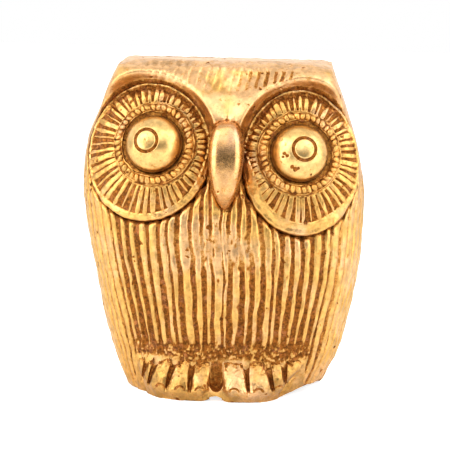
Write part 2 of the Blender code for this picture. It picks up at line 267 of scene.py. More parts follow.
def measure_girth(angle):
    """Arc length round the widest section, from the middle of the breast both ways to the back."""
    ring = body_skin(angle, 35 * MM)
    steps = np.linalg.norm(np.roll(ring, -1, axis=0) - ring, axis=1)
    around = steps.sum()
    length = np.concatenate([[0.0], np.cumsum(steps)[:-1]])
    length -= length[np.argmin(np.abs(angle + math.pi / 2))]
    return np.where(length > around / 2, length - around, length), around


FLUTE_PITCH = 2.6 * MM
FLUTE_DEPTH = 0.8 * MM
FLUTE_START = 100.5
FOREHEAD_PITCH = 2.0 * MM
FOREHEAD_DEPTH = 0.44 * MM
FOREHEAD_SLANT = 0.20
FOREHEAD_START = 400.5
CRUST_LOW = 10.2 * MM
CRUST_HIGH = 14.2 * MM


def brow_height(x):
    """The lower ends of the forehead strokes: a wide V over the beak."""
    return 75.3 * MM + 0.27 * (np.hypot(x - BEAK_X, 3 * MM) - 3 * MM)


def on_forehead(x, facing):
    """1 on the front between the brow's outer ends, 0 elsewhere."""
    return smooth(0.3, 0.6, facing) * (1 - smooth_mm(17.5, 20, np.abs(x + 0.8 * MM)))


def flute_strokes(skin, arc, around, facing, brow, rubbed):
    """Course, depth and width of the flutes, which gather below and stop at the discs and the brow."""
    x, z = skin[:, 0], skin[:, 2]
    front = smooth(0.25, 0.75, facing)
    side = 1 - smooth(0.3, 0.85, np.abs(facing))
    pitch = around / round(around / FLUTE_PITCH)
    gather = 1 + 0.09 * smooth_mm(40, 8, z) * smooth_mm(62, 48, np.abs(arc))
    by_feet = (facing > 0.25) & (x > -20.5 * MM) & (x < 22 * MM)
    share = smooth_mm(0, 2.0, z - np.where(by_feet, 12.0, 0.6) * MM)
    high_end = 72 * MM - side * 20 * MM - 17 * MM * smooth_mm(12, 6, np.abs(x - BEAK_X)) * front
    share *= 1 - smooth_mm(0, 6, z - high_end)
    share *= 1 - smooth(0.2, 0.6, brow)
    share *= 1 - smooth_mm(-2, 1, z - brow_height(x) + 3 * MM) * smooth(0.3, 0.6, facing)
    on_turn = np.exp(-(((facing - 0.42) / 0.18) ** 2))
    depth = FLUTE_DEPTH * (0.65 + 0.35 * front - 0.2 * on_turn) * share * (1 - 0.55 * rubbed)
    width = 0.36 + 0.07 * front * (1 - smooth_mm(22, 40, z)) - 0.11 * side
    width += 0.1 * front * smooth_mm(26, 12, z)
    return arc * gather / pitch + FLUTE_START, depth, width


def crust_band(skin, facing):
    """The granular band left over the toes, ragged below."""
    x, z = skin[:, 0], skin[:, 2]
    low = CRUST_LOW + 0.5 * MM * np.sin(x / (3.1 * MM))
    band = smooth_mm(-1.8, 0.6, z - low) * (1 - smooth_mm(-1.2, 1.6, z - CRUST_HIGH))
    band = band * smooth_mm(-25, -18.5, x) * smooth_mm(27, 20.5, x)
    return band * smooth(0.15, 0.35, facing)


def closed_top(angle):
    """Rows over the filed top, from its edge to its middle, with the course and depth of its strokes."""
    columns = len(angle)
    rows, cut = [], []
    for share in (0.35, 0.7, 0.93, 1.0):
        lean_in = TOP_ROUND * (1 - math.sqrt(1 - share**2))
        height = BODY_HEIGHT - TOP_ROUND * (1 - share)
        rows.append(body_skin(angle, height, lean_in))
        cut.append(np.ones(columns))
    drop = BODY_HEIGHT - rows[-1][:, 2]
    for step in range(1, 11):
        lean_in = TOP_ROUND + step * 0.5 * MM
        ring = body_skin(angle, BODY_HEIGHT, lean_in)
        ring[:, 2] = BODY_HEIGHT - drop * (1 - step / 10) ** 2
        rows.append(ring)
        cut.append(np.full(columns, 1 - smooth(2, 9, step)))
    x = np.concatenate(rows)[:, 0]
    reach = on_forehead(x, np.tile(-np.sin(angle), len(rows)))
    phase = (x - FOREHEAD_SLANT * 4.5 * MM) / FOREHEAD_PITCH + FOREHEAD_START
    return rows, phase, FOREHEAD_DEPTH * 0.8 * reach * np.concatenate(cut)


def core_hollow(angle):
    """Rows of the hollow left by the core, from its closed top down to the open base."""
    rows = []
    for z in np.linspace(0.0, HOLLOW_TOP / MM, 9) * MM:
        head = smooth_mm(40, 54, z)
        ring = body_skin(angle, z, (WALL + head * 1.5 * MM, WALL + head * 5.0 * MM, WALL))
        ring[:, 2] = z
        ring[:, 2] += chipped_base(ring) + notched_sole(ring)
        rows.append(ring)
    return rows[::-1]


def ring_quads(rows, columns, closed=False):
    """Faces between rings of points. Closed joins the last ring to the first."""
    start = np.arange(rows if closed else rows - 1)[:, None] * columns
    after = (start + columns) % (rows * columns)
    here, there = np.arange(columns), (np.arange(columns) + 1) % columns
    return np.stack([start + here, start + there, after + there, after + here], -1).reshape(-1, 4)


def close_rows(rows):
    """Points, faces and the two end faces of one closed mesh from rings of points."""
    columns = len(rows[0])
    first = list(range(columns))[::-1]
    last = list(range((len(rows) - 1) * columns, len(rows) * columns))
    return np.concatenate(rows), ring_quads(len(rows), columns), [first, last]


def mesh_from(name, points, quads, extra=()):
    mesh = bpy.data.meshes.new(name)
    mesh.from_pydata(points.tolist(), [], quads.tolist() + [list(f) for f in extra])
    mesh.validate()
    mesh.shade_smooth()
    return mesh


def write_marks(mesh, **marks):
    """Writes named values at a mesh's points. One number does for all of them."""
    for name, values in marks.items():
        made = mesh.attributes.new(name, "FLOAT", "POINT")
        made.data.foreach_set("value", np.float32(values + np.zeros(len(mesh.vertices))))


def build_body():
    """The casting's skin, inside and out, with what is chased, stained and worn at each point."""
    angle, heights = body_grid()
    girth, around = measure_girth(angle)
    columns = len(angle)
    skin = np.concatenate([body_skin(angle, z) for z in heights])
    skin, seat_shadow, brow = shape_face(skin)
    facing = -np.sin(np.tile(angle, len(heights)))
    front = smooth(0.25, 0.75, facing)
    skin[:, 2] += chipped_base(skin)
    skin[:, 1] -= 0.9 * BROW_RISE * brow
    skin[:, 2] += 0.3 * BROW_RISE * brow
    x, z = skin[:, 0], skin[:, 2]

    rubbed = np.exp(-(((x - 2 * MM) / (15 * MM)) ** 2) - (((z - 38 * MM) / (6 * MM)) ** 2)) * front
    arc = np.tile(girth, len(heights))
    phase, depth, width = flute_strokes(skin, arc, around, facing, brow, rubbed)
    forehead = smooth_mm(-0.4, 0.6, z - brow_height(x)) * on_forehead(x, facing)
    is_forehead = forehead > 0.01
    slanted = (x - FOREHEAD_SLANT * (z - 78 * MM)) / FOREHEAD_PITCH + FOREHEAD_START
    stroke = FOREHEAD_DEPTH * forehead * (0.85 + 0.5 * smooth_mm(2, 11, x))
    phase = np.where(is_forehead, slanted, phase)
    depth = np.where(is_forehead, stroke, depth)
    width = np.where(is_forehead, 0.36, width)
    crust = crust_band(skin, facing)
    cleft = bridge_cleft(skin, facing)
    bed = (1 - smooth_mm(0.25, 0.95, from_beak(x, z))) * smooth(0.5, 0.7, facing)
    skin[:, 1] += 0.45 * MM * bed

    throat = smooth_mm(70, 72, z) * smooth_mm(10, 7, np.abs(x - BEAK_X)) * (1 - forehead)
    polished = np.maximum(smooth(0.2, 0.6, brow), throat * smooth(0.5, 0.7, facing))
    low_right = smooth_mm(16, 8, np.abs(x - 9 * MM)) * (1 - smooth_mm(22, 40, z))
    pitted = np.clip(rubbed * 1.1 + 0.5 * front * low_right, 0, 1) - 1.3 * polished
    scuffed = np.exp(-(((x + 2 * MM) / (9 * MM)) ** 2) - (((z - 40 * MM) / (6.5 * MM)) ** 2)) * front
    filed = smooth_mm(26, 30, x) * smooth_mm(50, 58, z) * smooth(0.9, 0.5, np.abs(facing))
    worn = np.clip(1.1 * scuffed + 0.9 * filed + 0.5 * (polished + 0.6 * forehead), 0, 1)
    stained = 0.34 * scuffed + 0.16 * front * (1 - forehead) * smooth_mm(74, 60, z)
    # The seat mask paints shadow into the gap round each disc's rim.
    recess = np.maximum.reduce([0.9 * seat_shadow, 0.9 * bed, cleft, stained])

    foot_rim = body_skin(angle, 0.0, 0.35 * MM)
    foot_rim[:, 2] += chipped_base(foot_rim) + notched_sole(foot_rim)
    top, top_phase, top_depth = closed_top(angle)
    inside = core_hollow(angle) + [foot_rim]
    points, quads, caps = close_rows(inside + np.split(skin, len(heights)) + top)
    mesh = mesh_from("body_skin", points, quads, caps)
    # Each attribute's values within the hollow, on the chased skin, and over the top.
    for name, hollow, chased, filed_top in (
        ("stroke_phase", 0.0, phase, top_phase),
        ("stroke_depth", 0.0, depth, top_depth),
        ("stroke_width", 0.3, width, 0.3),
        ("crust", 0.0, crust, 0.0),
        ("recess_base", 0.75, recess, 0.0),
        ("pitted", 0.0, pitted, 0.0),
        ("worn", 0.0, worn, 1.0),
    ):
        ends = np.full(columns * len(inside), hollow), np.broadcast_to(filed_top, columns * len(top))
        write_marks(mesh, **{name: np.concatenate([ends[0], chased, ends[1]])})
    return mesh


def add_node(tree, kind, feeds=(), **settings):
    """Adds a node with its settings, and feeds its inputs. A node given there feeds its first output."""
    made = tree.nodes.new(kind)
    for name, value in settings.items():
        setattr(made, name, value)
    for key, value in dict(feeds).items():
        if isinstance(value, bpy.types.Node):
            value = value.outputs[0]
        if isinstance(value, bpy.types.NodeSocket):
            tree.links.new(value, made.inputs[key])
        else:
            made.inputs[key].default_value = value
    return made


def add_sockets(tree, in_out, sockets):
    """Names a node group's sockets. Each comes with its usual number, or else with its kind."""
    for name, usual in sockets.items():
        kind = usual if isinstance(usual, str) else type(usual).__name__.capitalize()
        made = tree.interface.new_socket(name, in_out=in_out, socket_type=f"NodeSocket{kind}")
        if kind != usual:
            made.default_value = usual


def reckon(operation, *values):
    """A Math node's result, in the tree that its values come from."""
    tree = next(value.id_data for value in values if isinstance(value, bpy.types.NodeSocket))
    return add_node(tree, "ShaderNodeMath", enumerate(values), operation=operation).outputs[0]


def times(first, second):
    return reckon("MULTIPLY", first, second)


def times_plus(first, factor, rest):
    return reckon("MULTIPLY_ADD", first, factor, rest)


def less(first, second):
    return reckon("SUBTRACT", first, second)


def largest(first, second):
    return reckon("MAXIMUM", first, second)


def ease(value, low, high, start=0.0, end=1.0):
    """Value taken from low..high to start..end on a smooth step."""
    feeds = {"Value": value, "From Min": low, "From Max": high, "To Min": start, "To Max": end}
    return add_node(value.id_data, "ShaderNodeMapRange", feeds, interpolation_type="SMOOTHSTEP").outputs[0]


def bend(texture, reach, place):
    """The place moved along a noise texture's colour, by up to reach."""
    feeds = {0: texture.outputs["Color"], 1: (reach,) * 3, 2: place}
    return add_node(texture.id_data, "ShaderNodeVectorMath", feeds, operation="MULTIPLY_ADD").outputs[0]


def blend_colours(share, first, second, mode="MIX"):
    feeds = {0: share, 6: first, 7: second}
    return add_node(first.id_data, "ShaderNodeMix", feeds, data_type="RGBA", blend_type=mode).outputs[2]


def make_patina_group():
    """Colour, roughness, metal and relief of brass, from how deep each spot lies."""
    tree = bpy.data.node_groups.new("aged_brass", "ShaderNodeTree")
    node = partial(add_node, tree)
    add_sockets(tree, "INPUT", dict.fromkeys(("Recess", "Rubbed", "Reach", "Pits", "Polish"), "Float"))
    add_sockets(tree, "INPUT", dict.fromkeys(("Brass", "Worn", "Tarnish", "Patina", "Rosy"), "Color"))
    sockets = {"Colour": "Color", "Roughness": "Float", "Metal": "Float", "Relief": "Float"}
    add_sockets(tree, "OUTPUT", sockets)
    given = node("NodeGroupInput").outputs
    place = node("ShaderNodeTexCoord").outputs["Object"]

    def noise(scale, detail, rough=0.6):
        feeds = {"Vector": place, "Scale": scale, "Detail": detail, "Roughness": rough}
        return node("ShaderNodeTexNoise", feeds).outputs["Fac"]

    mottle = noise(520.0, 5.0, 0.7)
    grain = noise(2600.0, 3.0, 0.7)
    ripple = node("ShaderNodeTexNoise", {"Vector": place, "Scale": 900.0, "Detail": 2.0})
    feeds = {"Vector": bend(ripple, 1.8 * MM, place), "Scale": 600.0}
    holes = node("ShaderNodeTexVoronoi", feeds).outputs
    pick = node("ShaderNodeSeparateColor", {"Color": holes["Color"]}).outputs[0]
    picked = reckon("LESS_THAN", pick, given["Pits"])
    hole = times(ease(holes["Distance"], 0.42, 0.18), picked)

    reached = times(given["Recess"], given["Reach"])
    ragged = times_plus(mottle, 0.7, -0.35)
    fine = less(noise(1200.0, 4.0, 0.75), 0.5)
    ragged = times_plus(fine, 1.1, ragged)
    # Besides brown patina in hollows, the recess brings the painted shade that some pieces set in their gaps
    # and under overhangs.
    soil_and_shade = ease(reckon("ADD", reached, ragged), 0.3, 1.0, 0.0, 0.93)
    flecks = ease(noise(800.0, 4.0, 0.75), 0.53, 0.7, 0.0, 0.5)
    soil_and_shade = largest(largest(soil_and_shade, hole), flecks)

    rubbed = times_plus(given["Rubbed"], 0.35, noise(110.0, 3.0))
    clean = blend_colours(ease(rubbed, 0.45, 0.72), given["Brass"], given["Worn"])
    shade = ease(mottle, 0.36, 0.64, 0.68, 1.0)
    clean = blend_colours(1.0, clean, shade, "MULTIPLY")
    rosy = ease(noise(420.0, 3.0, 0.7), 0.5, 0.66, 0.0, 0.75)
    patina = blend_colours(rosy, given["Patina"], given["Rosy"])
    crumbs = ease(noise(1300.0, 3.0, 0.7), 0.36, 0.64, 0.5, 1.45)
    patina = blend_colours(1.0, patina, crumbs, "MULTIPLY")
    tarnished = blend_colours(ease(soil_and_shade, 0.0, 0.6), clean, given["Tarnish"])
    colour = blend_colours(ease(soil_and_shade, 0.35, 0.95), tarnished, patina)

    rough = times_plus(soil_and_shade, 0.3, given["Polish"])
    rough = times_plus(grain, 0.12, rough)
    metal = times_plus(soil_and_shade, -0.06, 1.0)
    relief = times_plus(hole, -1.0, times(grain, 0.22))
    relief = times_plus(mottle, 0.5, relief)
    feeds = {"Colour": colour, "Roughness": rough, "Metal": metal, "Relief": relief}
    node("NodeGroupOutput", feeds)
    return tree


PATINA_GROUP = make_patina_group()
# Patina browns, also used for the painted shade in the gaps round the discs and over the toe tops.
PATINA_BROWN = (0.235, 0.078, 0.012, 1.0)
PATINA_ROSE = (0.33, 0.125, 0.045, 1.0)
TARNISH_AMBER = (0.53, 0.24, 0.05, 1.0)
BRASS_GOLD = (0.80, 0.45, 0.125, 1.0)
FILED_PINK = (0.86, 0.51, 0.235, 1.0)


def brass(name, metal=BRASS_GOLD, worn=FILED_PINK, reach=1.0, pits=0.05, polish=0.34, relief=0.12 * MM):
    """A brass material with its own gold, wear, patina reach, casting pits and polish."""
    made = bpy.data.materials.new(name)
    made.use_nodes = True
    tree = made.node_tree
    node = partial(add_node, tree)
    shader = tree.nodes["Principled BSDF"]
    feeds = {
        "Recess": node("ShaderNodeAttribute", attribute_name="recess").outputs["Fac"],
        "Rubbed": node("ShaderNodeAttribute", attribute_name="worn").outputs["Fac"],
        "Brass": metal,
        "Worn": worn,
        "Tarnish": TARNISH_AMBER,
        "Patina": PATINA_BROWN,
        "Rosy": PATINA_ROSE,
        "Reach": reach,
        "Pits": pits,
        "Polish": polish,
    }
    aged = node("ShaderNodeGroup", feeds, node_tree=PATINA_GROUP).outputs
    bump = node("ShaderNodeBump", {"Height": aged["Relief"], "Distance": relief})
    tree.links.new(aged["Colour"], shader.inputs["Base Color"])
    tree.links.new(aged["Roughness"], shader.inputs["Roughness"])
    tree.links.new(aged["Metal"], shader.inputs["Metallic"])
    tree.links.new(bump.outputs["Normal"], shader.inputs["Normal"])
    return made


def make_chasing_tree():
    """Cuts strokes into a skin where its attributes ask for them, and notes how deep each spot lies."""
    tree = bpy.data.node_groups.new("chase_strokes", "GeometryNodeTree")
    node = partial(add_node, tree)
    sockets = {"Geometry": "Geometry", "Wander": 0.3, "Wander Scale": 60.0, "Variation": 0.5}
    sockets |= {"Flatness": 0.15, "Unevenness": 0.85 * MM, "Crust Height": 0.65 * MM}
    add_sockets(tree, "INPUT", sockets | {"Seed": 1, "Metal": "Material"})
    add_sockets(tree, "OUTPUT", {"Geometry": "Geometry"})
    given = node("NodeGroupInput").outputs
    place = node("GeometryNodeInputPosition").outputs[0]

    def attribute(name):
        found = node("GeometryNodeInputNamedAttribute", {"Name": name}, data_type="FLOAT")
        return found.outputs["Attribute"]

    def noise(scale, detail, stretch=1.0):
        feeds = {0: place, 1: (1, 1, stretch)}
        drawn = node("ShaderNodeVectorMath", feeds, operation="MULTIPLY")
        return node("ShaderNodeTexNoise", {"Vector": drawn, "Scale": scale, "Detail": detail}).outputs["Fac"]

    def lot(cell, step):
        """A number drawn for each stroke, from 0 to 1."""
        feeds = {"ID": cell, "Seed": reckon("ADD", given["Seed"], step)}
        return node("FunctionNodeRandomValue", feeds, data_type="FLOAT").outputs[1]

    # The course of each stroke wanders, the more so where the skin is beaten.
    pitted = attribute("pitted")
    drift = times(less(noise(given["Wander Scale"], 1.0, 0.35), 0.5), 2.0)
    drift = times_plus(less(noise(330.0, 1.0, 0.5), 0.5), 0.8, drift)
    wander = times(times_plus(largest(pitted, 0.0), 0.9, 1.0), given["Wander"])
    phase = times_plus(drift, wander, attribute("stroke_phase"))
    cell = reckon("FLOOR", phase)
    across = reckon("FRACT", phase)

    # Each stroke has its own place, width and weight.
    middle = times_plus(times(less(lot(cell, 11), 0.5), given["Variation"]), 0.3, 0.5)
    apart = reckon("ABSOLUTE", less(across, middle))
    spread = times(less(lot(cell, 23), 0.5), given["Variation"])
    swell = times_plus(less(noise(260.0, 2.0, 0.4), 0.5), 0.9, spread)
    width = times(attribute("stroke_width"), reckon("ADD", swell, 1.0))
    groove = ease(apart, times(width, given["Flatness"]), width, 1.0, 0.0)
    press = ease(noise(190.0, 2.0, 0.6), 0.3, 0.65, 0.65, 1.0)
    weight = times_plus(times(lot(cell, 37), given["Variation"]), -0.5, 1.0)
    depth = attribute("stroke_depth")
    cut = times(times(depth, groove), times(press, weight))

    # The cast skin is uneven and pitted, and stands up in crumbs where it was left as cast.
    uneven = times(less(noise(330.0, 3.0), 0.68), given["Unevenness"])
    uneven = times(uneven, ease(pitted, -1.0, 0.0, 0.12, 1.0))
    pit = ease(times_plus(pitted, 0.13, noise(620.0, 3.0)), 0.70, 0.76)
    uneven = times_plus(pit, -0.3 * MM, uneven)
    crust = attribute("crust")
    lumps = noise(1150.0, 3.0)
    crumbs = times(times(less(lumps, 0.72), given["Crust Height"]), 2.0)
    rise = times_plus(crust, crumbs, less(uneven, cut))

    full = ease(depth, 0.0, 0.78 * MM)
    low_spots = times(crust, ease(lumps, 0.64, 0.52, 0.4, 1.0))
    recess = largest(times(ease(groove, 0.12, 0.75), full), low_spots)
    recess = largest(recess, times(pit, 0.95))
    recess = largest(recess, attribute("recess_base"))

    before = tree.nodes.new("GeometryNodeCaptureAttribute")
    before.capture_items.new("FLOAT", "recess")
    tree.links.new(given["Geometry"], before.inputs["Geometry"])
    tree.links.new(recess, before.inputs["recess"])
    normal = node("GeometryNodeInputNormal")
    push = node("ShaderNodeVectorMath", {0: normal, "Scale": rise}, operation="SCALE")
    cut_skin = node("GeometryNodeSetPosition", {"Geometry": before.outputs["Geometry"], "Offset": push})
    feeds = {"Geometry": cut_skin, "Name": "recess", "Value": before.outputs["recess"]}
    noted = node("GeometryNodeStoreNamedAttribute", feeds, data_type="FLOAT", domain="POINT")
    real = node("GeometryNodeRealizeInstances", {"Geometry": noted})
    clad = node("GeometryNodeSetMaterial", {"Geometry": real, "Material": given["Metal"]})
    node("NodeGroupOutput", {"Geometry": clad})
    return tree


CHASING_TREE = make_chasing_tree()


def stand_object(name, data):
    """A new object of the scene, at the origin."""
    made = bpy.data.objects.new(name, data)
    bpy.context.scene.collection.objects.link(made)
    return made


def work_mesh(mesh, name, tree, **values):
    """Runs a tree over a mesh, with values for its named inputs, and gives a plain piece."""
    worker = stand_object(f"{name}_blank", mesh)
    modifier = worker.modifiers.new("work", "NODES")
    modifier.node_group = tree
    for item in tree.interface.items_tree:
        if item.item_type == "SOCKET" and item.in_out == "INPUT" and item.name in values:
            modifier[item.identifier] = values[item.name]
    depsgraph = bpy.context.evaluated_depsgraph_get()
    worked = bpy.data.meshes.new_from_object(worker.evaluated_get(depsgraph))
    worked.name = name
    bpy.data.objects.remove(worker)
    bpy.data.meshes.remove(mesh)
    return stand_object(name, worked)


def read_points(mesh):
    points = np.empty(len(mesh.vertices) * 3)
    mesh.vertices.foreach_get("co", points)
    return points.reshape(-1, 3)


def write_points(mesh, points):
    mesh.vertices.foreach_set("co", points.ravel())
    mesh.update()


def chase(mesh, name, solid, metal, **values):
    """The finished piece from its skin, chased, and planed to its solid part's own extent."""
    piece = work_mesh(mesh, name, CHASING_TREE, Metal=metal, **values)
    for used in ("stroke_phase", "stroke_depth", "stroke_width", "crust", "recess_base", "pitted"):
        piece.data.attributes.remove(piece.data.attributes[used])
    piece.data.shade_smooth()
    low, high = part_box(solid)
    write_points(piece.data, np.clip(read_points(piece.data), np.array(low), np.array(high)))
    return piece


BODY_METAL = brass("fluted_brass", pits=0.06, polish=0.25, relief=0.24 * MM)
body = chase(build_body(), "fluted_body", "body_casting", BODY_METAL, Wander=0.45, Variation=0.85, Seed=3)
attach(body, "root")
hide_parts("body_casting")

# -------------------- facial discs
# Two oval brass plates dished to the head, each with some fifty leaves chased outwards from the eye
# ring inside a plain rim. The rim is wider above, and on the right disc below as well.

LEAVES = 50
LEAF_DEPTH = 0.66 * MM
LEAF_FROM = 10.5 * MM
LEAF_FOOT = 10.3 * MM
LEAF_ROWS = 44
LEAF_START = 200.0
LEFT_RIM_BELOW = 1.1 * MM
RIGHT_RIM_BELOW = 2.3 * MM
DISC_THICK = 2.2 * MM
DISC_HOLE = 2.8 * MM
MOAT_OUTER = 7.9 * MM
MOAT_DEPTH = 0.7 * MM
RIM_ROUND = 0.5 * MM


def full_turn(columns):
    return np.linspace(0, 2 * math.pi, columns, endpoint=False)


def ring_at(turn, radius, height):
    """A ring of points round the axis."""
    return np.stack([radius * np.cos(turn), radius * np.sin(turn), np.full(len(turn), height)], -1)


def from_eye(points, eye):
    """Eye points bent to the head's curve and set in place on the owl."""
    bent = points.copy()
    bent[..., 2] -= eye_sag(points[..., 0], points[..., 1])
    return bent @ eye["axes"] + eye["centre"]


def build_disc(eye, rim_below):
    """One disc from its hole out over the moat, the leaves and the rim, and back underneath."""
    columns = 720
    turn = full_turn(columns)
    rim = rim_radius(eye, turn)
    below = smooth(0.1, 0.8, -np.sin(turn + eye["side"] * 0.35))
    above = smooth(0.2, 0.7, np.sin(turn))
    plain = 0.5 * MM + rim_below * below + 1.1 * MM * above
    rows, marks = [], []

    def add_row(radius, height, patina_and_shade, cut=0.0, tip=0.0, crumb=0.0):
        rows.append(ring_at(turn, radius, height))
        marks.append([np.broadcast_to(value, columns) for value in (patina_and_shade, cut, tip, crumb)])

    add_row(DISC_HOLE, -DISC_THICK, 1.0)
    add_row(DISC_HOLE, -MOAT_DEPTH, 1.0)
    add_row(MOAT_OUTER - MOAT_DEPTH, -MOAT_DEPTH, 0.75)
    add_row(MOAT_OUTER, 0.0, 0.75)
    add_row(10.2 * MM, 0.0, 0.9)
    for i in range(LEAF_ROWS + 1):
        share = i / LEAF_ROWS
        radius = LEAF_FOOT + share * (rim - RIM_ROUND - LEAF_FOOT)
        to_edge = rim - plain - radius
        past_tip = 1 - smooth_mm(-0.25, 0.25, to_edge)
        cut = LEAF_DEPTH * smooth_mm(0, 0.3, radius - LEAF_FROM) * (1 - past_tip * (1 - 0.9 * above))
        patina_and_shade = 0.75 * (1 - smooth_mm(0, 0.5, radius - LEAF_FOOT))
        # Painted shade: the plain rim above the leaf tips is darkened where the brow overhangs it.
        patina_and_shade = np.maximum(patina_and_shade, 0.8 * above * past_tip)
        near_ring = 1 - smooth_mm(0, 1.0, radius - LEAF_FOOT)
        crumb = np.maximum(0.5 * above * past_tip, 0.4 * near_ring)
        swell = 0.35 * MM * math.sin(math.pi * min(share * 1.1, 1.0))
        add_row(radius, swell, patina_and_shade, cut, 1 - smooth_mm(-0.2, 0.8, to_edge), crumb)
    # Painted shade: the rim's roll and outer wall darken towards the gap between the disc and the head.
    for step in (0.3, 0.6, 0.85, 1.0):
        out = RIM_ROUND * math.sin(step * math.pi / 2)
        down = RIM_ROUND * (1 - math.cos(step * math.pi / 2))
        add_row(rim - RIM_ROUND + out, -down, 0.55 * step**2)
    add_row(rim, -DISC_THICK * 0.6, 1.0)
    add_row(rim, -DISC_THICK, 1.0)
    add_row(12.0 * MM, -DISC_THICK, 1.0)

    local = np.concatenate(rows)
    quads = ring_quads(len(rows), columns, closed=True)[:, ::-1]
    mesh = mesh_from("disc_skin", from_eye(local, eye), quads)
    patina_and_shade, cut, tip, crumb = np.array(marks, float).transpose(1, 0, 2).reshape(4, -1)
    radius = np.hypot(local[:, 0], local[:, 1])
    width = 0.26 + 0.15 * smooth_mm(11, 16, radius)
    course = np.tile(turn / (2 * math.pi) * LEAVES, len(rows)) + LEAF_START
    write_marks(mesh, stroke_phase=course, stroke_depth=cut, stroke_width=width + (0.6 - width) * tip)
    write_marks(mesh, crust=crumb, recess_base=patina_and_shade, pitted=0.0)
    return mesh


DISC_METAL = brass("leafed_brass", polish=0.24, relief=0.22 * MM)
LEAF_WORK = {"Wander": 0.4, "Variation": 1.2, "Flatness": 0.34}
for side, rim_below, seed in (("left", LEFT_RIM_BELOW, 11), ("right", RIGHT_RIM_BELOW, 12)):
    skin = build_disc(EYES[side], rim_below)
    disc = chase(skin, f"{side}_leafed_disc", f"{side}_facial_disc", DISC_METAL, Seed=seed, **LEAF_WORK)
    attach(disc, "root")
    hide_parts(f"{side}_facial_disc")

# -------------------- eye rings
# A cord of small brass beads between two thin wires, on a low band, soldered on the disc round
# each eye. The hollows between the beads keep their brown patina.

CORD_MIDDLE = 9.1 * MM
CORD_HALF = 1.2 * MM
WIRE_OFFSET = 1.0 * MM
WIRE_RADIUS = 0.19 * MM
BEAD_RADIUS = 0.68 * MM
BEAD_HEIGHT = 0.62 * MM
BEADS = 42


def make_cord_tree():
    """Beads on a circle between two wires, joined to a flat band."""
    tree = bpy.data.node_groups.new("beaded_cord", "GeometryNodeTree")
    node = partial(add_node, tree)
    sockets = {"Geometry": "Geometry", "Middle": CORD_MIDDLE, "Wire Offset": WIRE_OFFSET}
    sockets |= {"Wire Radius": WIRE_RADIUS, "Bead Size": BEAD_RADIUS, "Height": BEAD_HEIGHT}
    add_sockets(tree, "INPUT", sockets | {"Beads": BEADS, "Seed": 1, "Metal": "Material"})
    add_sockets(tree, "OUTPUT", {"Geometry": "Geometry"})
    given = node("NodeGroupInput").outputs
    joined = tree.nodes.new("GeometryNodeJoinGeometry")
    place = node("GeometryNodeInputPosition").outputs[0]

    def circle(resolution, radius):
        return node("GeometryNodeCurvePrimitiveCircle", {"Resolution": resolution, "Radius": radius})

    def lift(geometry, height):
        up = node("ShaderNodeCombineXYZ", {2: height})
        return node("GeometryNodeSetPosition", {"Geometry": geometry, "Offset": up}).outputs[0]

    feeds = {"Curve": circle(160, given["Middle"]), "Count": given["Beads"]}
    spots = node("GeometryNodeCurveToPoints", feeds, mode="COUNT")
    feeds = {"Segments": 10, "Rings": 7, "Radius": given["Bead Size"]}
    bead = node("GeometryNodeMeshUVSphere", feeds)
    feeds = {0: (1.25, 0.85, 0.95), 1: (1.6, 1.12, 1.25), "Seed": given["Seed"]}
    scale = node("FunctionNodeRandomValue", feeds, data_type="FLOAT_VECTOR")
    feeds = {2: 0.15, 3: 0.65, "Seed": given["Seed"]}
    twist = node("FunctionNodeRandomValue", feeds, data_type="FLOAT").outputs[1]
    parts = node("ShaderNodeSeparateXYZ", {0: place}).outputs
    heading = reckon("ADD", reckon("ARCTAN2", parts[1], parts[0]), twist)
    turn = node("ShaderNodeCombineXYZ", {2: heading})
    feeds = {"Points": spots, "Instance": bead, "Rotation": turn, "Scale": scale}
    beads = node("GeometryNodeInstanceOnPoints", feeds)
    tree.links.new(lift(beads, given["Height"]), joined.inputs[0])
    for side in (1.0, -1.0):
        reach = times_plus(given["Wire Offset"], side, given["Middle"])
        feeds = {"Curve": circle(160, reach), "Profile Curve": circle(10, given["Wire Radius"])}
        wire = node("GeometryNodeCurveToMesh", feeds)
        tree.links.new(lift(wire, times(given["Height"], 0.9)), joined.inputs[0])
    tree.links.new(given["Geometry"], joined.inputs[0])

    real = node("GeometryNodeRealizeInstances", {"Geometry": joined})
    shake = node("ShaderNodeTexNoise", {"Vector": place, "Scale": 480.0, "Detail": 1.0})
    feeds = {"Geometry": real, "Offset": bend(shake, 0.9 * MM, (-0.45 * MM,) * 3)}
    uneven = node("GeometryNodeSetPosition", feeds)
    soft = node("GeometryNodeSetShadeSmooth", {"Geometry": uneven})
    clad = node("GeometryNodeSetMaterial", {"Geometry": soft, "Material": given["Metal"]})
    node("NodeGroupOutput", {"Geometry": clad})
    return tree


CORD_TREE = make_cord_tree()


def ring_band():
    """The low band under the cord, a closed strip round the eye."""
    turn = full_turn(160)
    section = [(-1.0, 0.3), (-0.95, 0.6), (0.0, 0.7), (0.95, 0.6), (1.0, 0.3)]
    rows = [ring_at(turn, CORD_MIDDLE + across * CORD_HALF, height * MM) for across, height in section]
    quads = ring_quads(len(rows), len(turn), closed=True)[:, ::-1]
    return mesh_from("ring_band", np.concatenate(rows), quads)


CORD_METAL = brass("corded_brass", pits=0.04)
for side, seed in (("left", 4), ("right", 5)):
    ring = work_mesh(ring_band(), f"{side}_corded_ring", CORD_TREE, Metal=CORD_METAL, Seed=seed)
    flat = read_points(ring.data)
    write_marks(ring.data, recess=1 - smooth_mm(0.55, 1.0, flat[:, 2]))
    write_points(ring.data, from_eye(flat, EYES[side]))
    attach(ring, "root")
    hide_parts(f"{side}_eye_ring")

# -------------------- eye domes
# Turned and hand-polished brass domes, each with a pupil circle engraved near its crown. Their
# spigots go through the discs into the head. The right one kept some casting pits.

